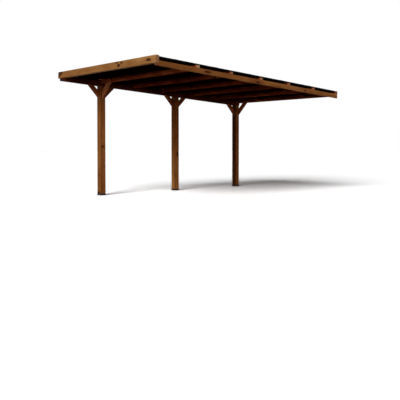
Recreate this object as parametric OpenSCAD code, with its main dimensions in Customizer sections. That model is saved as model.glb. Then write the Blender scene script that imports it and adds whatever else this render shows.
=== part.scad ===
// Lean-to carport: a flat roof of rafters and boards, carried by a wall plate on one side
// and by a beam on three posts with knee braces on the other.
//
// Origin: the centre of the wall plate's flat face, where it lies on the wall.
// +X runs along the wall from the front to the rear, +Y from the wall to the posts, +Z up.
// The roof falls from front to rear. Its pieces are drawn level, then tipped about Y.
// The front is the high end, where a vehicle drives in.

/* [Roof frame] */
// How far the roof falls from front to rear, in degrees
roof_fall = 3.0; // [0:0.5:5]
// Distance between the centres of the first two rafters
front_bay = 910; // [600:10:1200]
// Distance between the centres of all the other rafters
rafter_pitch = 833; // [500:1:1100]
// Length of a rafter, from the wall to its free end
rafter_length = 3200; // [2400:10:4000]
// Thickness of a rafter
rafter_w = 70; // [45:1:120]
// Height of a common rafter, under the boards
rafter_h = 90; // [85:1:160]
// Height of a rafter's underside over that of the wall plate
rafter_seat = 44; // [30:1:60]
// Depth of the notch where a rafter sits over the beam
beam_notch = 64; // [30:1:75]
// How far the rafters run on past the beam's outer face
eaves = 75; // [20:5:300]
// How far the front rafter stands up past the felt
front_kerb = 17; // [0:1:60]

/* [Wall plate and beam] */
// Thickness of the wall plate, square to the wall
plate_t = 30; // [22:1:60]
// Height of the wall plate
plate_h = 88; // [70:1:110]
// Width of the beam on the posts
beam_w = 125; // [80:1:160]
// Height of the beam on the posts
beam_h = 120; // [90:1:160]

/* [Posts] */
// Side of a post's square section
post_w = 125; // [80:1:160]
// Clear height under the beam at the front end of the roof
front_clearance = 2368; // [2000:1:3000]
// How far the rear post stands in from the beam's rear end
rear_post_inset = 18; // [0:1:300]

/* [Braces] */
// Outer leg of a brace along the beam, from the post's face
brace_leg = 265; // [200:5:450]
// Outer leg of a brace across the roof, from the post's face
cross_leg = 305; // [200:5:600]
// Width of a brace, in its own plane
brace_w = 95; // [60:1:120]
// Thickness of a brace
brace_t = 45; // [30:1:70]

/* [Roof covering] */
// Thickness of the roof boards
board_t = 19; // [15:1:28]
// Thickness of the roofing felt
felt_t = 4; // [2:0.5:8]

/* [Post shoes] */
// Thickness of a shoe's floor
shoe_floor_t = 4; // [3:0.5:10]
// Thickness of a shoe's four sides
shoe_side_t = 3; // [2:0.5:6]
// Height of a shoe, with its floor
shoe_h = 45; // [20:1:80]

/* [Hidden] */

// Numbers of the rafters and posts, counted from the front
FIRST_RAFTER = 1;
LAST_RAFTER = 7;
FRONT_POST = 1;
MIDDLE_POST = 2;
REAR_POST = 3;
// Directions along the wall
FORE = -1;
AFT = 1;
// How far a cutter runs past the face that it cuts
cut = 5;

// Colours of the planed wood, the roofing felt and the painted steel
pine = [0.47, 0.29, 0.13];
pine_end = [0.60, 0.42, 0.27];
felt_black = [0.03, 0.03, 0.03];
shoe_black = [0.08, 0.06, 0.05];

// Along the roof, before it is tipped
roof_length = rafter_w + front_bay + (LAST_RAFTER - 2) * rafter_pitch;
roof_front = -roof_length / 2;
roof_rear = roof_length / 2;
// Heights square to the roof, before it is tipped
seat_z = -plate_h / 2;
rafter_z = seat_z + rafter_seat;
beam_z = rafter_z + beam_notch - beam_h;
boards_z = rafter_z + rafter_h;
roof_top_z = boards_z + board_t + felt_t;
// Across the roof
beam_y1 = rafter_length - eaves;
beam_y0 = beam_y1 - beam_w;
post_y1 = beam_y1;
post_y0 = post_y1 - post_w;
// The ground, under the beam's front end
ground_z = height_at(tipped_x(roof_front, beam_z), beam_z) - front_clearance;

// The tipped roof's x for a point x, z of the level one
function tipped_x(x, z) = x * cos(roof_fall) + z * sin(roof_fall);
// Height at the plumb line x of a face that lies at z in the level roof
function height_at(x, z) = z / cos(roof_fall) - x * tan(roof_fall);
// Centre of rafter number i along the level roof
function rafter_x(i) =
    roof_front + rafter_w / 2 + (i > 1 ? front_bay + (i - 2) * rafter_pitch : 0);
// Centre of a rafter along the ground, at its underside
function rafter_plumb_x(i) = tipped_x(rafter_x(i), rafter_z);
// The front post is under the second rafter, the rear one near the beam's end
front_post_x = rafter_plumb_x(FIRST_RAFTER + 1);
rear_post_x = tipped_x(roof_rear, beam_z) - rear_post_inset - post_w / 2;
function post_x(i) =
    front_post_x + (i - FRONT_POST) * (rear_post_x - front_post_x) / (REAR_POST - FRONT_POST);

// What is drawn as a level roof falls from front to rear
module tipped() {
    rotate([0, roof_fall, 0]) children();
}

// An outline in X and Z, given a thickness towards the wall from y
module upright_slab(points, y, thickness) {
    translate([0, y, 0])
        rotate([90, 0, 0])
            linear_extrude(thickness)
                polygon(points);
}

// A bar along the whole roof, its two ends cut down so that the end rafters lie whole on them
module lengthwise_bar(y, z, width, height) {
    color(pine) tipped()
        difference() {
            translate([roof_front, y, z])
                cube([roof_length, width, height]);
            for (x = [roof_front - cut, roof_rear - rafter_w])
                translate([x, y - cut, rafter_z])
                    cube([rafter_w + cut, width + 2 * cut, height]);
        }
}

module wall_plate() {
    lengthwise_bar(0, seat_z, plate_t, plate_h);
}

module post_beam() {
    lengthwise_bar(beam_y0, beam_z, beam_w, beam_h);
}

// A common rafter, notched over the wall plate and the beam
module rafter(i) {
    color(pine_end) tipped()
        translate([rafter_x(i) - rafter_w / 2, 0, 0])
            difference() {
                translate([0, 0, rafter_z])
                    cube([rafter_w, rafter_length, rafter_h]);
                translate([-cut, -cut, seat_z - cut])
                    cube([rafter_w + 2 * cut, plate_t + cut, plate_h + cut]);
                translate([-cut, beam_y0, beam_z - cut])
                    cube([rafter_w + 2 * cut, beam_w, beam_h + cut]);
            }
}

// The end rafters stand up beside the boards and the felt, and past them by a kerb
module end_rafter(i, kerb) {
    color(pine_end) tipped()
        translate([rafter_x(i) - rafter_w / 2, 0, rafter_z])
            cube([rafter_w, rafter_length, rafter_h + board_t + felt_t + kerb]);
}

// A plumb post on its shoe, cut to the beam's slope
module post(i) {
    x0 = post_x(i) - post_w / 2;
    x1 = post_x(i) + post_w / 2;
    foot = ground_z + shoe_floor_t;
    color(pine)
        upright_slab([
            [x0, foot],
            [x1, foot],
            [x1, height_at(x1, beam_z)],
            [x0, height_at(x0, beam_z)]
        ], post_y1, post_w);
}

// A knee brace between a post's face and the beam's underside
module beam_brace(i, side) {
    face_x = post_x(i) + side * post_w / 2;
    corner = height_at(face_x, beam_z);
    end_x = face_x + side * brace_leg;
    end_z = height_at(end_x, beam_z);
    slope = (end_z - corner + brace_leg) / (end_x - face_x);
    rise = brace_w * sqrt(1 + slope * slope);
    inner_x = face_x + (brace_leg - rise) / (slope + tan(roof_fall));
    color(pine)
        upright_slab([
            [face_x, corner - brace_leg],
            [end_x, end_z],
            [inner_x, height_at(inner_x, beam_z)],
            [face_x, corner - brace_leg + rise]
        ], post_y1 - (post_w - brace_t) / 2, brace_t);
}

// A knee brace between a post's inner face and a rafter, as near the post's centre as the
// rafter lets it stand
module cross_brace(i, rafter_number) {
    play = (rafter_w - brace_t) / 2;
    middle = rafter_plumb_x(rafter_number);
    x = max(middle - play, min(middle + play, post_x(i)));
    top = height_at(x, rafter_z);
    rise = brace_w * sqrt(2);
    spare = brace_t;
    color(pine)
        difference() {
            translate([x - brace_t / 2, post_y0, top])
                rotate([90, 0, 90])
                    linear_extrude(brace_t)
                        polygon([
                            [0, -cross_leg],
                            [0, -cross_leg + rise],
                            [-cross_leg + rise - spare, spare],
                            [-cross_leg - spare, spare]
                        ]);
            tipped()
                translate([rafter_x(rafter_number) - 2 * brace_t, 0, rafter_z])
                    cube([4 * brace_t, rafter_length, 4 * spare]);
        }
}

// The boards lie on the common rafters, between the end ones
module roof_boards() {
    color(pine) tipped()
        translate([roof_front + rafter_w, felt_t, boards_z])
            cube([roof_length - 2 * rafter_w, rafter_length - 2 * felt_t, board_t]);
}

// Felt over the boards, turned down over their two long edges
module roof_felt() {
    color(felt_black) tipped()
        translate([roof_front + rafter_w, 0, boards_z])
            difference() {
                cube([roof_length - 2 * rafter_w, rafter_length, board_t + felt_t]);
                translate([-cut, felt_t, -cut])
                    cube([roof_length, rafter_length - 2 * felt_t, board_t + cut]);
            }
}

// A low steel tray around a post's foot
module shoe(i) {
    outer = post_w + 2 * shoe_side_t;
    color(shoe_black)
        translate([post_x(i), (post_y0 + post_y1) / 2, ground_z])
            difference() {
                translate([-outer / 2, -outer / 2, 0])
                    cube([outer, outer, shoe_h]);
                translate([-post_w / 2, -post_w / 2, shoe_floor_t])
                    cube([post_w, post_w, shoe_h]);
            }
}

wall_plate();
post_beam();
post(FRONT_POST);  // post_front
post(MIDDLE_POST);  // post_middle
post(REAR_POST);  // post_rear
end_rafter(FIRST_RAFTER, front_kerb);  // rafter_front
rafter(2);  // rafter_2
rafter(3);  // rafter_3
rafter(4);  // rafter_4
rafter(5);  // rafter_5
rafter(6);  // rafter_6
end_rafter(LAST_RAFTER, 0);  // rafter_rear
beam_brace(FRONT_POST, FORE);  // brace_front_post_fore
beam_brace(FRONT_POST, AFT);  // brace_front_post_aft
cross_brace(FRONT_POST, FIRST_RAFTER + 1);  // brace_front_post_cross
beam_brace(MIDDLE_POST, FORE);  // brace_middle_post_fore
beam_brace(MIDDLE_POST, AFT);  // brace_middle_post_aft
beam_brace(REAR_POST, FORE);  // brace_rear_post_fore
cross_brace(REAR_POST, LAST_RAFTER);  // brace_rear_post_cross
roof_boards();
roof_felt();
shoe(FRONT_POST);  // shoe_front
shoe(MIDDLE_POST);  // shoe_middle
shoe(REAR_POST);  // shoe_rear
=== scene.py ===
"""Looks of the wall-mounted timber carport: its timbers, roof boards, felt, shoes and fastenings.

The origin is the centre of the wall plate's wall face: +X runs along the wall from the high front
end to the low rear end, +Y runs from the wall to the posts, and +Z is up. Lengths are in metres.
"""

import math
import random

import bmesh
import bpy
from mathutils import Matrix, Vector


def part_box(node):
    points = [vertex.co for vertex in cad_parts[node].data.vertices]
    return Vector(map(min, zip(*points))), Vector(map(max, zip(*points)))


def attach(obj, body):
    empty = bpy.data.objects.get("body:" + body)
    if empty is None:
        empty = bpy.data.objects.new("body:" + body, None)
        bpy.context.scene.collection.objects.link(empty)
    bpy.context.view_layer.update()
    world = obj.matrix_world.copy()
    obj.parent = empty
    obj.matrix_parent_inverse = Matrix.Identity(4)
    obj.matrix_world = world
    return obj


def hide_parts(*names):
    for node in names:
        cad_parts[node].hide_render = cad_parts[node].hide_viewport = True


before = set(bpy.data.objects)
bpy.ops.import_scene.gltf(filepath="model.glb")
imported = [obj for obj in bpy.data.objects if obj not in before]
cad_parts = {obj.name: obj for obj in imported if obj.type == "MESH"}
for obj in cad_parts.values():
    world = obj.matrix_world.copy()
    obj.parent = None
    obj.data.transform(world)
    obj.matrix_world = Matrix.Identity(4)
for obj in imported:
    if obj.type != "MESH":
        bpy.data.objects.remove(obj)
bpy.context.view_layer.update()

# Wood. A timber's pith is HEART away from its middle, and each seed moves the grain by SEED_STEP.
# PALE_END is plain end grain, and the other end value is end grain darkened with painted shade;
# faces store which for the wood material.
ARRIS = 0.003
HEART = (0.02, 0.015)
WELD = 1e-5
FLAT = math.radians(1)
SHARP = math.radians(20)
SEED_STEP = 23.7
PALE_END = 1.0
SHADED_END = 2.0

# Roof boards
BOARD_COVER = 0.096
BOARD_GAP = 0.0008
V_JOINT = 0.0035
TONGUE = 0.006
TONGUE_LOW = 0.0072
TONGUE_HIGH = 0.0118
GROOVE_PLAY = 0.0004
BOARD_SEED = 17
BOARD_TONES = (0.85, 1.12)
BOARD_HEART_ASIDE = 0.05
BOARD_HEART_ABOVE = (0.03, 0.08)
BOARD_GRAIN_SEEDS = (100, 900)

# Felt
FELT_SHEET = 0.0019
FELT_BED = 0.0001
UNDERLAY = 0.0015
FELT_COVER = 0.92
FELT_LAP = 0.08
FELT_STEP = 0.08
FELT_WAVE = 0.0005
FELT_SEED = 5
FELT_SHARP = math.radians(35)
FOLD_STEPS = 4
# How far behind a lap's end the upper strip comes down, and its share of the lift there
LAP_SETTLES = [(0.0, 1.0), (0.006, 0.6), (0.014, 0.0)]

# Fastenings
NAIL_SPACING = 0.075
NAIL_RADIUS = 0.005
SCREW_RADIUS = 0.008
SCREW_FROM_END = 0.05
SCREW_STAGGER = 0.028
SCREW_OFFSET = 0.009
HEX_RADIUS = 0.0075
HEX_HEIGHT = 0.005
WASHER_RADIUS = 1.5 * HEX_RADIUS
WASHER_HEIGHT = 0.0016
TRAY_ARRIS = 0.0012

OTHER_RAFTERS = ["rafter_2", "rafter_3", "rafter_4", "rafter_5", "rafter_6", "rafter_rear"]
RAFTERS_UNDER_JOINTS = ["rafter_3", "rafter_4", "rafter_5"]
POSTS = ["post_front", "post_middle", "post_rear"]
BRACES = [
    "brace_front_post_fore",
    "brace_front_post_aft",
    "brace_front_post_cross",
    "brace_middle_post_fore",
    "brace_middle_post_aft",
    "brace_rear_post_fore",
    "brace_rear_post_cross",
]
SHOES = ["shoe_front", "shoe_middle", "shoe_rear"]

# How light a timber is at the start and at the end of its grain, along +X, +Y or +Z. The posts'
# tones are painted light and shade: the middle post is paler at its foot, the posts are darker
# towards their tops, and the rear post is darker all along. rafter_2 and the front post's cross
# brace are paler than the others of their kind: painted light.
POST_LIGHT_AND_SHADE_TONES = [(1.0, 0.92), (1.22, 0.68), (0.84, 0.76)]
PLATE_TONES = (0.94, 1.04)
FRONT_RAFTER_TONES = (1.08, 0.75)
RAFTER_TONES = (1.28, 1.28)
PAINTED_LIGHT_RAFTER_TONES = (1.95, 2.3)
BRACE_TONES = (1.05, 1.05)
PAINTED_LIGHT_BRACE_TONES = (2.1, 2.4)


# ---------------------------------------------------------------- the roof's slope

def roof_up():
    """The direction square to the roof, from the felt's top face."""
    total = Vector((0, 0, 0))
    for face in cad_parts["roof_felt"].data.polygons:
        if face.normal.z > 0.9:
            total += face.normal * face.area
    return total.normalized()


UP = roof_up()
FALL = math.atan2(UP.x, UP.z)
TIP = Matrix.Rotation(FALL, 4, "Y")
LEVEL = TIP.inverted()


def level_box(node):
    """Lowest and highest corner of a CAD node with the roof turned back to level."""
    points = [LEVEL @ v.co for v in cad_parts[node].data.vertices]
    low = Vector([min(p[i] for p in points) for i in range(3)])
    high = Vector([max(p[i] for p in points) for i in range(3)])
    return low, high


# ---------------------------------------------------------------- materials

# How wide a year's growth is
RING = 0.0042
# Random knots: how far apart and how scattered they are, the smallest one's radius and how much
# larger the largest is, the lean of their branches, and the share that is left out
KNOT_SPACING = 0.85
KNOT_SCATTER = 0.85
KNOT_RADIUS = 0.007
KNOT_RADIUS_MORE = 0.016
KNOT_LEAN = 0.3
KNOTS_MISSING = 0.25
# A distance to a mark, in its radii, at which it doesn't show
FAR = 50.0
WOOD_SPECULAR = 0.05
FELT_SPECULAR = 0.03
STEEL_SPECULAR = 0.3
# End grain and worn arrises
BARE = (0.24, 0.138, 0.075, 1)
KNOT = (0.030, 0.004, 0.001, 1)
CRACK = (0.012, 0.005, 0.003, 1)
# Painted shade on end grain
END_SHADE = (0.022, 0.009, 0.008, 1)
BITUMEN = (0.0025, 0.0025, 0.0027, 1)
GRANULE = (0.011, 0.011, 0.0115, 1)
DUST = (0.012, 0.011, 0.010, 1)
# Where the stain is thick it takes away more of the green and the blue, and so it does where the
# tone carries painted shade
STAIN_AND_SHADE_GREEN = 1.5
STAIN_AND_SHADE_BLUE = 1.9


class Graph:
    """The nodes of a material or of the world. Most calls give back a new node's output."""

    def __init__(self, owner):
        owner.use_nodes = True
        self.owner = owner
        self.tree = owner.node_tree
        self.shader = self.tree.nodes.get("Principled BSDF")

    def add(self, kind, inputs=(), **settings):
        """A new node with its settings, whose inputs are given by name or number."""
        node = self.tree.nodes.new(kind)
        for key, value in settings.items():
            setattr(node, key, value)
        for key, value in dict(inputs).items():
            self.put(node.inputs[key], value)
        return node

    def put(self, socket, value):
        if isinstance(value, bpy.types.NodeSocket):
            self.tree.links.new(value, socket)
        else:
            socket.default_value = value

    def math(self, operation, a, b=0.0):
        return self.add("ShaderNodeMath", {0: a, 1: b}, operation=operation).outputs[0]

    def fade(self, value, start, end, low=0.0, high=1.0):
        """A smooth step from low at start to high at end."""
        inputs = {"Value": value, "From Min": start, "From Max": end, "To Min": low, "To Max": high}
        return self.add("ShaderNodeMapRange", inputs, interpolation_type="SMOOTHSTEP").outputs[0]

    def mix(self, share, a, b, blend="MIX"):
        inputs = {0: share, 6: a, 7: b}
        return self.add("ShaderNodeMix", inputs, data_type="RGBA", blend_type=blend).outputs[2]

    def noise(self, vector, scale, detail=2.0, roughness=0.5):
        inputs = {"Vector": vector, "Scale": scale, "Detail": detail, "Roughness": roughness}
        return self.add("ShaderNodeTexNoise", inputs).outputs["Fac"]

    def stretch(self, vector, scale):
        return self.add("ShaderNodeMapping", {"Vector": vector, "Scale": scale}).outputs[0]

    def number(self, name):
        return self.add("ShaderNodeAttribute", attribute_name=name).outputs["Fac"]

    def vector(self, name):
        return self.add("ShaderNodeAttribute", attribute_name=name).outputs["Vector"]

    def place(self):
        return self.add("ShaderNodeTexCoord").outputs["Object"]

    def bump(self, height, strength, distance):
        inputs = {"Height": height, "Strength": strength, "Distance": distance}
        self.put(self.shader.inputs["Normal"], self.add("ShaderNodeBump", inputs).outputs[0])

    def finish(self, colour, roughness, specular, metallic=0.0):
        self.put(self.shader.inputs["Base Color"], colour)
        self.put(self.shader.inputs["Roughness"], roughness)
        self.shader.inputs["Specular IOR Level"].default_value = specular
        self.shader.inputs["Metallic"].default_value = metallic
        return self.owner


def radius_of(g, a, b):
    """How long the vector (a, b) is."""
    return g.math("SQRT", g.math("ADD", g.math("POWER", a, 2.0), g.math("POWER", b, 2.0)))


def knots(g, along, across, up):
    """How far the nearest of the branches that run out from the heart is, in its radii."""
    inputs = {"W": along, "Scale": 1 / KNOT_SPACING, "Randomness": KNOT_SCATTER}
    cell = g.add("ShaderNodeTexVoronoi", inputs, voronoi_dimensions="1D")
    turn, size, chance = g.add("ShaderNodeSeparateColor", {0: cell.outputs["Color"]}).outputs[:3]
    angle = g.math("MULTIPLY", turn, 2 * math.pi)
    cosine = g.math("COSINE", angle)
    sine = g.math("SINE", angle)
    outward = g.math("ADD", g.math("MULTIPLY", across, cosine), g.math("MULTIPLY", up, sine))
    aside = g.math("SUBTRACT", g.math("MULTIPLY", up, cosine), g.math("MULTIPLY", across, sine))
    lean = g.math("MULTIPLY", outward, KNOT_LEAN)
    ahead = g.math("SUBTRACT", g.math("SUBTRACT", along, cell.outputs["W"]), lean)
    radius = g.math("MULTIPLY_ADD", size, KNOT_RADIUS_MORE)
    radius.node.inputs[2].default_value = KNOT_RADIUS
    ratio = g.math("DIVIDE", radius_of(g, ahead, aside), radius)
    inward = g.math("LESS_THAN", outward, 0.0)
    missing = g.math("LESS_THAN", chance, KNOTS_MISSING)
    return g.math("ADD", ratio, g.math("MULTIPLY", g.math("MAXIMUM", inward, missing), FAR))


def own_marks(g, marks):
    """How near the closest of the given marks is, in shares of its three radii."""
    near = FAR
    for point, radii in marks:
        away = g.add("ShaderNodeVectorMath", {0: g.place(), 1: point}, operation="SUBTRACT")
        shares = g.add("ShaderNodeVectorMath", {0: away.outputs[0], 1: radii}, operation="DIVIDE")
        ratio = g.add("ShaderNodeVectorMath", {0: shares.outputs[0]}, operation="LENGTH")
        near = g.math("MINIMUM", near, ratio.outputs["Value"])
    return near


def growth_rings(g, across, up, bend):
    """Latewood lines around the heart, each with a slow start and a sharp end."""
    from_heart = radius_of(g, across, up)
    ring = g.math("FRACT", g.math("DIVIDE", g.math("ADD", from_heart, bend), RING))
    return g.math("MULTIPLY", g.fade(ring, 0.25, 0.9), g.fade(ring, 1.0, 0.92))


def drying_checks(g, grain):
    """Narrow cracks along the grain, in some stretches only."""
    line = g.noise(g.stretch(grain, (0.55, 34, 34)), 1.0, 1.0)
    crack = g.fade(g.math("ABSOLUTE", g.math("SUBTRACT", line, 0.5)), 0.006, 0.0)
    stretch = g.fade(g.noise(g.stretch(grain, (1.1, 7, 7)), 1.0, 1.0), 0.54, 0.62)
    return g.math("MULTIPLY", crack, stretch)


def sawn_end(g, grain, latewood, late):
    """End grain, darkened with painted shade on the ends that are marked for it."""
    rays = g.noise(g.stretch(grain, (1, 90, 90)), 1.0, 3.0, 0.65)
    sawn = g.mix(g.math("MULTIPLY", latewood, 0.5), BARE, late)
    sawn = g.mix(g.fade(rays, 0.45, 0.75, 0.0, 0.5), sawn, late)
    end_shade = g.fade(g.number("end_grain"), PALE_END, SHADED_END, 0.0, 0.94)
    return g.mix(end_shade, sawn, END_SHADE)


def under_stain(g, colour, fine, blotch):
    """The colour under a stain that lies unevenly and follows the timber's tone, which on some
    timbers is painted light and shade.
    """
    streaks = g.fade(fine, 0.3, 0.7, 0.84, 1.12)
    clouds = g.fade(blotch, 0.3, 0.7, 0.8, 1.18)
    shade = g.math("MULTIPLY", g.math("MULTIPLY", streaks, clouds), g.number("tone"))
    green = g.math("POWER", shade, STAIN_AND_SHADE_GREEN)
    blue = g.math("POWER", shade, STAIN_AND_SHADE_BLUE)
    glaze = g.add("ShaderNodeCombineColor", {0: shade, 1: green, 2: blue}).outputs[0]
    return g.mix(1.0, colour, glaze, "MULTIPLY")


def stained_pine(name, early, late, own_knots=(), stains_and_shade=(), checks=0.0, specular=0.0):
    """Planed pine with a brown stain: growth rings, knots, streaks, end grain and worn arrises.

    Without knots of its own, the pine gets random ones.
    """
    g = Graph(bpy.data.materials.new(name))
    grain = g.vector("grain")
    along, across, up = g.add("ShaderNodeSeparateXYZ", {0: grain}).outputs[:3]
    wobble = g.math("SUBTRACT", g.noise(g.stretch(grain, (2.2, 9, 9)), 1.0), 0.5)
    near = own_marks(g, own_knots) if own_knots else knots(g, along, across, up)
    near = g.math("ADD", near, g.math("MULTIPLY", wobble, 0.3))
    core = g.fade(near, 1.05, 0.75)
    halo = g.fade(near, 3.6, 0.9)
    bend = g.math("ADD", g.math("MULTIPLY", wobble, 0.03), g.math("MULTIPLY", halo, 0.012))
    latewood = growth_rings(g, across, up, bend)
    broad = g.noise(g.stretch(grain, (0.7, 16, 16)), 1.0, 3.0)
    fine = g.noise(g.stretch(grain, (3, 260, 260)), 1.0, 2.0)
    blotch = g.noise(g.stretch(grain, (1.6, 5, 5)), 1.0, 3.0, 0.6)
    colour = g.mix(g.math("MULTIPLY", latewood, 0.62), early, late)
    colour = g.mix(g.fade(broad, 0.36, 0.66, 0.0, 0.55), colour, late)
    colour = g.mix(g.math("MULTIPLY", halo, 0.45), colour, late)
    colour = g.mix(g.math("MULTIPLY", core, 0.9), colour, KNOT)
    colour = g.mix(g.number("end_grain"), colour, sawn_end(g, grain, latewood, late))
    worn = g.math("MULTIPLY", g.number("arris"), g.fade(blotch, 0.35, 0.65, 0.0, 0.3))
    colour = g.mix(worn, colour, BARE)
    if stains_and_shade:
        # Dark marks: real stains, and painted shade where a mark stands for it
        stain_and_shade_share = g.fade(g.math("ADD", own_marks(g, stains_and_shade), wobble), 1.15, 0.75, 0.0, 0.85)
        colour = g.mix(stain_and_shade_share, colour, KNOT)
    height = g.math("ADD", g.math("MULTIPLY", latewood, 0.5), g.math("MULTIPLY", fine, 0.8))
    height = g.math("SUBTRACT", height, g.math("MULTIPLY", core, 0.4))
    if checks:
        crack = drying_checks(g, grain)
        colour = g.mix(g.math("MULTIPLY", crack, checks), colour, CRACK)
        height = g.math("SUBTRACT", height, g.math("MULTIPLY", crack, 3.0))
    g.bump(height, 0.35, 0.0006)
    roughness = g.fade(fine, 0.3, 0.7, 0.6, 0.78)
    return g.finish(under_stain(g, colour, fine, blotch), roughness, specular)


def felt_material():
    """Bitumen felt with fine mineral granules, a little paler where dust has settled."""
    g = Graph(bpy.data.materials.new("felt_black"))
    place = g.place()
    granules = g.noise(place, 420.0, 2.0, 0.7)
    dust = g.noise(place, 2.3, 4.0, 0.6)
    colour = g.mix(g.fade(granules, 0.5, 0.72), BITUMEN, GRANULE)
    colour = g.mix(g.fade(dust, 0.42, 0.75, 0.0, 0.35), colour, DUST)
    g.bump(g.math("ADD", granules, g.math("MULTIPLY", dust, 0.4)), 0.5, 0.0012)
    return g.finish(colour, g.fade(granules, 0.3, 0.7, 0.9, 0.75), FELT_SPECULAR)


def steel_material(name, colour, worn_colour, roughness, metallic):
    """Coated steel, rubbed in places."""
    g = Graph(bpy.data.materials.new(name))
    place = g.place()
    rub = g.noise(place, 38.0, 5.0, 0.7)
    film = g.noise(place, 9.0, 3.0)
    mixed = g.mix(g.fade(rub, 0.58, 0.74, 0.0, 0.6), colour, worn_colour)
    mixed = g.mix(g.fade(film, 0.4, 0.7, 0.0, 0.35), mixed, worn_colour)
    g.bump(g.math("ADD", rub, film), 0.25, 0.0004)
    rough = g.fade(rub, 0.3, 0.7, roughness, roughness + 0.2)
    return g.finish(mixed, rough, STEEL_SPECULAR, metallic)


# ---------------------------------------------------------------- meshes

def add_wood_layers(solid):
    """What the wood material reads, made before any corner is held."""
    solid.verts.layers.float_vector.new("grain")
    # tone: the timber's own tone, and on some timbers painted light and shade
    solid.verts.layers.float.new("tone")
    solid.faces.layers.float.new("end_grain")
    solid.faces.layers.float.new("arris")


def add_piece(name, solid, material, replaced=()):
    """Makes the bmesh a piece of the carport."""
    mesh = bpy.data.meshes.new(name)
    solid.to_mesh(mesh)
    solid.free()
    mesh.materials.append(material)
    piece = bpy.data.objects.new(name, mesh)
    bpy.context.scene.collection.objects.link(piece)
    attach(piece, "root")
    if replaced:
        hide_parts(*replaced)
    return piece


def smooth_arrises(piece):
    """Flat faces stay flat, and the rounded arrises between them shade smoothly."""
    for face in piece.data.polygons:
        face.use_smooth = True
    weigh = piece.modifiers.new("flat_faces", "WEIGHTED_NORMAL")
    weigh.keep_sharp = True


def solid_copy(node):
    """A CAD node's shape as whole flat faces."""
    solid = bmesh.new()
    solid.from_mesh(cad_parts[node].data)
    add_wood_layers(solid)
    bmesh.ops.remove_doubles(solid, verts=solid.verts, dist=WELD)
    bmesh.ops.dissolve_limit(solid, angle_limit=FLAT, verts=solid.verts, edges=solid.edges)
    bmesh.ops.recalc_face_normals(solid, faces=solid.faces)
    return solid


def forward(direction):
    """The same line, pointing along its largest component."""
    largest = max(direction, key=abs)
    return direction.normalized() if largest > 0 else -direction.normalized()


def timber_axes(solid):
    """The grain's direction and the two across it, from the two largest sides that meet."""
    sides = sorted(solid.faces, key=lambda face: face.calc_area(), reverse=True)
    first = sides[0].normal.copy()
    second = next(face.normal.copy() for face in sides if abs(face.normal.dot(first)) < 0.1)
    return forward(first.cross(second)), forward(first), forward(second)


def round_arrises(solid, width):
    """Rounds every outward edge and marks the new faces."""
    arris = solid.faces.layers.float["arris"]
    edges = [
        edge for edge in solid.edges
        if len(edge.link_faces) == 2 and edge.is_convex and edge.calc_face_angle() > SHARP
    ]
    made = bmesh.ops.bevel(
        solid, geom=edges, offset=width, segments=2, profile=0.5, affect="EDGES", clamp_overlap=True
    )
    for face in made["faces"]:
        face[arris] = 1.0


def set_grain(solid, verts, faces, axes, seed, heart, tones, end=PALE_END):
    """Stores each point's place in its timber, which the wood material draws the grain from.

    The heart is where the timber's pith is, from its middle. The tones are how light its ends are.
    """
    grain = solid.verts.layers.float_vector["grain"]
    tone_layer = solid.verts.layers.float["tone"]
    end_layer = solid.faces.layers.float["end_grain"]
    spans = [[vert.co.dot(axis) for vert in verts] for axis in axes]
    middle = [(min(span) + max(span)) / 2 for span in spans]
    shift = Vector((seed * SEED_STEP - min(spans[0]), heart[0] - middle[1], heart[1] - middle[2]))
    for vert in verts:
        vert[grain] = Vector([vert.co.dot(axis) for axis in axes]) + shift
        share = (vert.co.dot(axes[0]) - min(spans[0])) / (max(spans[0]) - min(spans[0]))
        vert[tone_layer] = tones[0] + share * (tones[1] - tones[0])
    for face in faces:
        face[end_layer] = end if abs(face.normal.dot(axes[0])) > 0.6 else 0.0


def timber(node, material, seed, tones=(1.0, 1.0), end=PALE_END):
    """A CAD timber with rounded arrises and its own grain."""
    solid = solid_copy(node)
    axes = timber_axes(solid)
    round_arrises(solid, ARRIS)
    set_grain(solid, solid.verts, solid.faces, axes, seed, HEART, tones, end)
    smooth_arrises(add_piece(node + "_timber", solid, material, [node]))


def add_prism(solid, outline, start, end):
    """A bar with an outline in Y and Z, from start to end along X of the level roof."""
    rings = [[solid.verts.new(TIP @ Vector((x, y, z))) for y, z in outline] for x in (start, end)]
    faces = [solid.faces.new(rings[0]), solid.faces.new(rings[1][::-1])]
    for i in range(len(outline)):
        faces.append(solid.faces.new((rings[0][i], rings[0][i - 1], rings[1][i - 1], rings[1][i])))
    bmesh.ops.recalc_face_normals(solid, faces=faces)
    return rings[0] + rings[1], faces


# ---------------------------------------------------------------- roof boards

def board_outline(y, z, cover, thickness, has_tongue):
    """A matchboard with a groove on the wall side, a tongue on the other, and a V at each joint."""
    edge = cover - BOARD_GAP
    points = [(V_JOINT, 0.0), (edge - V_JOINT, 0.0), (edge, V_JOINT)]
    if has_tongue:
        low, high = TONGUE_LOW + GROOVE_PLAY, TONGUE_HIGH - GROOVE_PLAY
        points += [(edge, low), (edge + TONGUE, low), (edge + TONGUE, high), (edge, high)]
    points += [(edge, thickness), (0.0, thickness), (0.0, TONGUE_HIGH)]
    groove = TONGUE + GROOVE_PLAY
    points += [(groove, TONGUE_HIGH), (groove, TONGUE_LOW), (0.0, TONGUE_LOW), (0.0, V_JOINT)]
    return [(y + along, z + up) for along, up in points]


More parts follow.
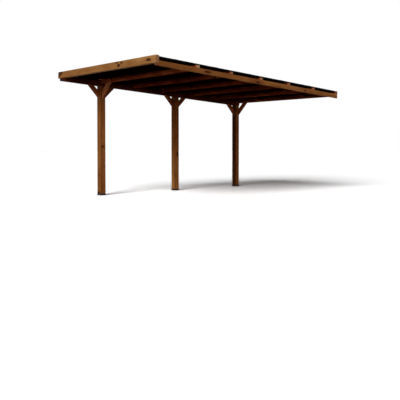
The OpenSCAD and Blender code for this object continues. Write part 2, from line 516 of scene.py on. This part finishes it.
def add_roof_boards():
    """Rows of matchboards along the roof, each of two lengths that meet over a rafter."""
    low, high = level_box("roof_boards")
    rows = round((high.y - low.y) / BOARD_COVER)
    cover = (high.y - low.y) / rows
    middles = [sum(level_box(node), Vector()).x / 2 for node in RAFTERS_UNDER_JOINTS]
    axes = [TIP @ Vector((1, 0, 0)), Vector((0, 1, 0)), TIP @ Vector((0, 0, 1))]
    rng = random.Random(BOARD_SEED)
    solid = bmesh.new()
    add_wood_layers(solid)
    for row in range(rows):
        outline = board_outline(low.y + row * cover, low.z, cover, high.z - low.z, row < rows - 1)
        joint = middles[row * 2 % len(middles)]
        for start, end in ((low.x, joint - BOARD_GAP / 2), (joint + BOARD_GAP / 2, high.x)):
            verts, faces = add_prism(solid, outline, start, end)
            aside = rng.uniform(-BOARD_HEART_ASIDE, BOARD_HEART_ASIDE)
            above = rng.choice((-1, 1)) * rng.uniform(*BOARD_HEART_ABOVE)
            tone = rng.uniform(*BOARD_TONES)
            seed = rng.randint(*BOARD_GRAIN_SEEDS)
            set_grain(solid, verts, faces, axes, seed, (aside, above), (tone, tone))
    add_piece("roof_matchboards", solid, BOARD_PINE_PAINTED_SHADE, ["roof_boards"])


# ---------------------------------------------------------------- felt

def felt_path(boards_low, boards_high, hem):
    """Points in Y and Z over the boards from hem to hem, each with its outward direction."""
    top = boards_high.z + UNDERLAY
    path = [(boards_low.y, hem, math.pi)]
    for y, first, last in ((boards_low.y, math.pi, math.pi / 2), (boards_high.y, math.pi / 2, 0.0)):
        for i in range(FOLD_STEPS + 1):
            path.append((y, top, first + (last - first) * i / FOLD_STEPS))
        if y == boards_low.y:
            steps = round((boards_high.y - boards_low.y) / FELT_STEP)
            for i in range(1, steps):
                y_flat = boards_low.y + (boards_high.y - boards_low.y) * i / steps
                path.append((y_flat, top, math.pi / 2))
    path.append((boards_high.y, hem, 0.0))
    return [(y, z, math.cos(angle), math.sin(angle)) for y, z, angle in path]


def felt_strip_stations(upper, lower, laps):
    """Places along the roof where a strip has a row of points, and how far it is lifted there."""
    if laps:
        stations = [(lower, 1.0)] + [(lower - FELT_LAP - back, lift) for back, lift in LAP_SETTLES]
    else:
        stations = [(lower, 0.0)]
    start = stations[-1][0]
    steps = max(1, round((start - upper) / FELT_STEP))
    return stations + [(start + (upper - start) * i / steps, 0.0) for i in range(1, steps + 1)]


def rim_of(rows):
    """The points around the edge of a sheet, in order."""
    far_side = [row[-1] for row in rows[1:-1]]
    near_side = [row[0] for row in rows[-2:0:-1]]
    return rows[0] + far_side + rows[-1][::-1] + near_side


def add_felt_strip(solid, path, stations, rng):
    """One sheet of felt, with two skins and a closed edge, that lies a little unevenly."""
    phases = [rng.uniform(0, 2 * math.pi) for _ in range(3)]
    skins = []
    for skin in (0.0, FELT_SHEET):
        rows = []
        for x, lift in stations:
            row = []
            for y, z, out_y, out_z in path:
                wave = math.sin(2.3 * x + phases[0]) + math.sin(3.1 * y + phases[1])
                wave += math.sin(7.0 * y - 5.0 * x + phases[2])
                loose = FELT_WAVE * max(0.0, wave) / 3 if lift == 0.0 and out_z > 0.99 else 0.0
                off = FELT_BED + lift * FELT_SHEET + loose + skin
                row.append(solid.verts.new(TIP @ Vector((x, y + out_y * off, z + out_z * off))))
            rows.append(row)
        skins.append(rows)
    faces = []
    for rows in skins:
        for a, b in zip(rows, rows[1:]):
            faces += [solid.faces.new((a[i], a[i + 1], b[i + 1], b[i])) for i in range(len(a) - 1)]
    rims = [rim_of(rows) for rows in skins]
    for i in range(len(rims[0])):
        faces.append(solid.faces.new((rims[0][i - 1], rims[0][i], rims[1][i], rims[1][i - 1])))
    bmesh.ops.recalc_face_normals(solid, faces=faces)


def add_felt():
    """Strips across the fall of the roof. Each upper one laps over the one below it."""
    low, high = level_box("roof_felt")
    boards_low, boards_high = level_box("roof_boards")
    path = felt_path(boards_low, boards_high, low.z + FELT_BED)
    rng = random.Random(FELT_SEED)
    solid = bmesh.new()
    nails = bmesh.new()
    lower = high.x
    while lower > low.x + FELT_LAP:
        upper = max(low.x, lower - FELT_COVER - FELT_LAP)
        add_felt_strip(solid, path, felt_strip_stations(upper, lower, lower < high.x), rng)
        top = boards_high.z + UNDERLAY + FELT_BED + (2 if lower < high.x else 1) * FELT_SHEET
        add_nail_row(nails, lower - FELT_LAP / 4, boards_low.y, boards_high.y, top)
        lower -= FELT_COVER
    felt = add_piece("roof_felt_strips", solid, FELT, ["roof_felt"])
    for face in felt.data.polygons:
        face.use_smooth = True
    felt.data.set_sharp_from_angle(angle=FELT_SHARP)
    add_piece("felt_nails", nails, SCREW_STEEL)


# ---------------------------------------------------------------- fastenings

def add_turned(solid, profile, sides, place):
    """A small turned or many-sided head: rings of radius and height, closed at the top."""
    rings = []
    for radius, height in profile:
        turns = [2 * math.pi * i / sides for i in range(sides)]
        circle = [(radius * math.cos(turn), radius * math.sin(turn)) for turn in turns]
        rings.append([solid.verts.new(place @ Vector((x, y, height))) for x, y in circle])
    faces = [solid.faces.new(rings[-1]), solid.faces.new(rings[0][::-1])]
    for a, b in zip(rings, rings[1:]):
        faces += [solid.faces.new((a[i - 1], a[i], b[i], b[i - 1])) for i in range(sides)]
    bmesh.ops.recalc_face_normals(solid, faces=faces)


def standing_at(point, direction):
    """A place whose Z runs along the direction."""
    return Matrix.Translation(point) @ direction.to_track_quat("Z", "Y").to_matrix().to_4x4()


def add_nail_row(solid, x, y_start, y_end, z):
    """Clout nails across the roof."""
    count = round((y_end - y_start) / NAIL_SPACING)
    profile = [(NAIL_RADIUS, -0.0005), (NAIL_RADIUS, 0.0004), (NAIL_RADIUS * 0.6, 0.0009)]
    for i in range(count):
        y = y_start + (i + 0.5) * (y_end - y_start) / count
        add_turned(solid, profile, 8, TIP @ Matrix.Translation((x, y, z)))


def add_flange_screw(solid, point, direction):
    """The wide round head of a structural screw, with its recess."""
    r = SCREW_RADIUS
    profile = [(r, -0.001), (r, 0.0008), (r * 0.9, 0.0014)]
    profile += [(r * 0.55, 0.003), (r * 0.4, 0.003), (r * 0.3, 0.0012)]
    add_turned(solid, profile, 16, standing_at(point, direction))


def add_hex_screw(solid, point, direction):
    """A coach screw's hexagonal head on its washer."""
    place = standing_at(point, direction)
    r = WASHER_RADIUS
    add_turned(solid, [(r, -0.0005), (r, 0.0012), (r * 0.94, WASHER_HEIGHT)], 20, place)
    r = HEX_RADIUS
    top = WASHER_HEIGHT + HEX_HEIGHT
    add_turned(solid, [(r, 0.001), (r, top - 0.0008), (r * 0.88, top)], 6, place)


def add_brace_screws():
    """Two screws near each end of a brace, driven from its underside."""
    solid = bmesh.new()
    for node in BRACES:
        shape = solid_copy(node)
        lower = min(shape.faces, key=lambda face: face.normal.z)
        normal = lower.normal.copy()
        longest = max(lower.edges, key=lambda edge: edge.calc_length())
        along = (longest.verts[1].co - longest.verts[0].co).normalized()
        half = longest.calc_length() / 2
        middle = lower.calc_center_median()
        aside = normal.cross(along)
        shape.free()
        for end in (-1, 1):
            for side, inset in ((-1, 0.0), (1, SCREW_STAGGER)):
                reach = end * (half - SCREW_FROM_END - inset)
                point = middle + along * reach + aside * side * SCREW_OFFSET
                add_flange_screw(solid, point, normal)
    add_piece("brace_screws", solid, SCREW_STEEL)


# ---------------------------------------------------------------- shoes

def add_shoes():
    """Folded steel trays around the posts' feet, each held by coach screws."""
    screws = bmesh.new()
    for node in SHOES:
        solid = solid_copy(node)
        round_arrises(solid, TRAY_ARRIS)
        add_piece(node + "_tray", solid, SHOE_STEEL, [node])
        low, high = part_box(node)
        middle = (low + high) / 2
        reach = (high.x - low.x) / 2
        for x, y in ((1, 0), (-1, 0), (0, 1), (0, -1)):
            direction = Vector((x, y, 0))
            aside = direction.cross(Vector((0, 0, 1)))
            for side in (-1, 1):
                point = middle + direction * reach + aside * side * reach / 2
                add_hex_screw(screws, point, direction)
    add_piece("shoe_screws", screws, SHOE_SCREW_STEEL)


# ---------------------------------------------------------------- stage

CAMERA_PLACE = Vector((-8.597, -7.633, -1.231))
CAMERA_HEADING = 0.8277
CAMERA_PITCH = -0.020
CAMERA_LENS = 53.15
CAMERA_SENSOR = 36.0
CAMERA_SHIFT = -0.1063
CAMERA_FAR = 400.0
SUN_TOWARDS = Vector((4.01, 1.80, -2.18))
SUN_STRENGTH = 2.5
SUN_ANGLE = math.radians(28)
WHITE = (1, 1, 1, 1)
SKY_COLOUR = (0.0, 0.72, 1.0, 1)
SKY_STRENGTH = 0.015
WALL_SIDE = Vector((-0.15, -0.99, 0.0)).normalized()
WALL_SIDE_STRENGTH = 3.2
WALL_SIDE_EDGE = 0.3
WALL_SIDE_HEIGHT = 0.42
FRONT = Vector((-1.0, -0.1, 0.0)).normalized()
FRONT_STRENGTH = 4.0
FRONT_EDGE = 0.1
FRONT_HEIGHT = 0.08
FILL_COLOUR = (1.0, 0.68, 0.53, 1)
FLOOR_REACH = 90.0
FLOOR_SHOWN = (2.60, 2.62, 2.64, 1)
FLOOR_HIDDEN = (0.042, 0.020, 0.014, 1)


def add_camera():
    """The photograph's view."""
    data = bpy.data.cameras.new("camera")
    data.sensor_width = CAMERA_SENSOR
    data.lens = CAMERA_LENS
    data.shift_y = CAMERA_SHIFT
    data.clip_end = CAMERA_FAR
    camera = bpy.data.objects.new("camera", data)
    camera.location = CAMERA_PLACE
    camera.rotation_euler = (math.pi / 2 + CAMERA_PITCH, 0.0, CAMERA_HEADING - math.pi / 2)
    bpy.context.scene.collection.objects.link(camera)
    bpy.context.scene.camera = camera


def add_sun():
    """A broad soft lamp behind the camera's left, which throws the shadow back and to the right."""
    data = bpy.data.lights.new("sun", "SUN")
    data.energy = SUN_STRENGTH
    data.angle = SUN_ANGLE
    sun = bpy.data.objects.new("sun", data)
    sun.rotation_mode = "QUATERNION"
    sun.rotation_quaternion = SUN_TOWARDS.to_track_quat("-Z", "Y")
    bpy.context.scene.collection.objects.link(sun)


def seen_directly(g):
    """1 for rays from the camera and for those that come by a reflection or through glass."""
    path = g.add("ShaderNodeLightPath").outputs
    turned = g.math("MAXIMUM", path["Is Glossy Ray"], path["Is Transmission Ray"])
    return g.math("MAXIMUM", path["Is Camera Ray"], turned)


def choose_by_ray(g, hidden, shown):
    """One shader for what is seen directly, and another for the light that reaches the carport."""
    inputs = {0: seen_directly(g), 1: hidden.outputs[0], 2: shown.outputs[0]}
    return g.add("ShaderNodeMixShader", inputs).outputs[0]


def low_light(g, towards, direction, edge, height):
    """How bright the sky is near the horizon around a direction, up to a height."""
    ahead = g.add("ShaderNodeVectorMath", {0: towards, 1: direction}, operation="DOT_PRODUCT")
    up = g.add("ShaderNodeSeparateXYZ", {0: towards}).outputs["Z"]
    around = g.fade(ahead.outputs["Value"], edge, 1.0)
    return g.math("MULTIPLY", around, g.fade(up, 0.0, height, 1.0, 0.0))


def add_world():
    """A dim sky with warm light low on the wall side and in front, that is seen as plain white."""
    world = bpy.data.worlds.new("studio")
    bpy.context.scene.world = world
    g = Graph(world)
    towards = g.add("ShaderNodeTexCoord").outputs["Generated"]
    wall_side = low_light(g, towards, WALL_SIDE, WALL_SIDE_EDGE, WALL_SIDE_HEIGHT)
    front = low_light(g, towards, FRONT, FRONT_EDGE, FRONT_HEIGHT)
    wall_side = g.math("MULTIPLY", wall_side, WALL_SIDE_STRENGTH)
    front = g.math("MULTIPLY", front, FRONT_STRENGTH)
    both = g.math("ADD", wall_side, front)
    warm = g.add("ShaderNodeBackground", {"Color": FILL_COLOUR, "Strength": both})
    sky = g.add("ShaderNodeBackground", {"Color": SKY_COLOUR, "Strength": SKY_STRENGTH})
    seen = g.add("ShaderNodeBackground", {"Color": WHITE, "Strength": 1.0})
    lit = g.add("ShaderNodeAddShader", {0: sky.outputs[0], 1: warm.outputs[0]})
    choice = choose_by_ray(g, lit, seen)
    g.put(g.tree.nodes["World Output"].inputs["Surface"], choice)


def floor_material():
    """Pale where it is seen, with the carport's shadow, but it throws little light back."""
    g = Graph(bpy.data.materials.new("floor_pale"))
    g.tree.nodes.remove(g.shader)
    shown = g.add("ShaderNodeBsdfDiffuse", {"Color": FLOOR_SHOWN})
    hidden = g.add("ShaderNodeBsdfDiffuse", {"Color": FLOOR_HIDDEN})
    choice = choose_by_ray(g, hidden, shown)
    g.put(g.tree.nodes["Material Output"].inputs["Surface"], choice)
    return g.owner


def add_floor(height):
    """A wide plain floor under the feet."""
    bpy.ops.mesh.primitive_plane_add(size=2 * FLOOR_REACH, location=(0, 0, height))
    floor = bpy.context.object
    floor.name = "floor"
    floor.data.materials.append(floor_material())


# ---------------------------------------------------------------- the carport

def on_near_side(node, share, height):
    """A point on the side of a roof timber that faces -X or -Y.

    Its place is a share of the length, from the left end as the camera sees it, and of the height.
    """
    low, high = level_box(node)
    z = low.z + height * (high.z - low.z)
    if high.x - low.x > high.y - low.y:
        return TIP @ Vector((low.x + share * (high.x - low.x), low.y, z))
    return TIP @ Vector((low.x, high.y - share * (high.y - low.y), z))


def on_post(node, side, across, up):
    """A point on a post's -X or -Y side: a share across from the left and metres above its foot."""
    low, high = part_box(node)
    if side == "x":
        return Vector((low.x, high.y - across * (high.y - low.y), low.z + up))
    return Vector((low.x + across * (high.x - low.x), low.y, low.z + up))


def knot(point, grain_axis, length, width):
    """A knot at a point, drawn out along the grain."""
    radii = Vector((width, width, width))
    radii[grain_axis] = length
    return point, radii


RAFTER_KNOTS = [
    knot(on_near_side("rafter_front", 0.668, 0.42), 1, 0.055, 0.032),
    knot(on_near_side("rafter_front", 0.648, 0.80), 1, 0.045, 0.016),
    knot(on_near_side("rafter_front", 0.694, 0.72), 1, 0.040, 0.016),
    knot(on_near_side("rafter_front", 0.938, 0.50), 1, 0.080, 0.028),
]
# The dark patch at the front rafter's free end
RAFTER_STAINS = [knot(on_near_side("rafter_front", 0.0, 0.76), 1, 0.20, 0.075)]
PLATE_KNOTS = [
    knot(on_near_side("wall_plate", 0.228, 0.50), 0, 0.095, 0.026),
    knot(on_near_side("wall_plate", 0.487, 0.30), 0, 0.058, 0.022),
    knot(on_near_side("wall_plate", 0.773, 0.45), 0, 0.026, 0.024),
]
POST_KNOTS = [
    knot(on_post("post_front", "y", 0.45, 1.035), 2, 0.024, 0.030),
    knot(on_post("post_front", "x", 0.60, 0.43), 2, 0.020, 0.012),
    knot(on_post("post_middle", "y", 0.66, 0.855), 2, 0.060, 0.036),
    knot(on_post("post_rear", "y", 0.40, 0.55), 2, 0.040, 0.012),
]
# Darker places: darker at the foot of the front post's -X side, and painted shade down the rear
# post's -X side
POST_MARKS_AND_SHADE = [
    knot(on_post("post_front", "x", 0.35, 0.04), 1, 0.07, 0.05),
    (on_post("post_rear", "x", 0.50, 1.1), Vector((0.014, 0.085, 1.8))),
]

POST_PINE = stained_pine(
    "pine_post",
    (0.30, 0.132, 0.034, 1),
    (0.15, 0.048, 0.010, 1),
    own_knots=POST_KNOTS,
    stains_and_shade=POST_MARKS_AND_SHADE,
    checks=0.8,
    specular=WOOD_SPECULAR,
)
# Darker and redder than the posts: partly the beam's stain, partly painted shade under the roof
BEAM_PINE = stained_pine("pine_beam", (0.155, 0.044, 0.020, 1), (0.07, 0.015, 0.008, 1), checks=0.8)
PLATE_PINE = stained_pine(
    "pine_plate",
    (0.27, 0.122, 0.034, 1),
    (0.153, 0.056, 0.013, 1),
    own_knots=PLATE_KNOTS,
    specular=WOOD_SPECULAR,
)
# Redder than the posts: partly the rafters' stain, partly painted shade under the roof
RAFTER_PINE = stained_pine("pine_rafter", (0.34, 0.080, 0.022, 1), (0.17, 0.029, 0.006, 1))
FRONT_RAFTER_PINE = stained_pine(
    "pine_front_rafter",
    (0.385, 0.202, 0.067, 1),
    (0.232, 0.101, 0.028, 1),
    own_knots=RAFTER_KNOTS,
    stains_and_shade=RAFTER_STAINS,
    specular=WOOD_SPECULAR,
)
# Redder than the posts: partly the braces' stain, partly painted shade under the roof
BRACE_PINE = stained_pine("pine_brace", (0.34, 0.115, 0.036, 1), (0.165, 0.040, 0.012, 1))
# Near-black boards: painted shade under the roof
BOARD_PINE_PAINTED_SHADE = stained_pine("pine_board_painted_shade", (0.060, 0.020, 0.008, 1), (0.028, 0.008, 0.003, 1))
FELT = felt_material()
SHOE_STEEL = steel_material(
    "steel_shoe", (0.008, 0.006, 0.005, 1), (0.03, 0.022, 0.016, 1), roughness=0.5, metallic=0.0
)
SHOE_SCREW_STEEL = steel_material(
    "steel_coach", (0.02, 0.016, 0.013, 1), (0.05, 0.04, 0.03, 1), roughness=0.45, metallic=0.6
)
SCREW_STEEL = steel_material(
    "steel_screw", (0.035, 0.026, 0.018, 1), (0.02, 0.016, 0.012, 1), roughness=0.6, metallic=0.2
)


def add_timbers():
    """Posts, plate, beam, rafters and braces, each with a seed of its own for the grain."""
    seed = 1
    for node, tones in zip(POSTS, POST_LIGHT_AND_SHADE_TONES):
        timber(node, POST_PINE, seed, tones=tones)
        seed += 1
    timber("wall_plate", PLATE_PINE, seed, tones=PLATE_TONES)
    # The beam's ends carry painted shade
    timber("post_beam", BEAM_PINE, seed + 1, end=SHADED_END)
    timber("rafter_front", FRONT_RAFTER_PINE, seed + 2, tones=FRONT_RAFTER_TONES)
    seed += 3
    for node in OTHER_RAFTERS:
        tones = PAINTED_LIGHT_RAFTER_TONES if node == "rafter_2" else RAFTER_TONES
        timber(node, RAFTER_PINE, seed, tones=tones)
        seed += 1
    for node in BRACES:
        tones = PAINTED_LIGHT_BRACE_TONES if node == "brace_front_post_cross" else BRACE_TONES
        timber(node, BRACE_PINE, seed, tones=tones)
        seed += 1


add_camera()
add_sun()
add_world()
add_floor(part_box("shoe_front")[0].z)
add_timbers()
add_roof_boards()
add_felt()
add_brace_screws()
add_shoes()

bpy.context.scene.view_settings.view_transform = "Standard"
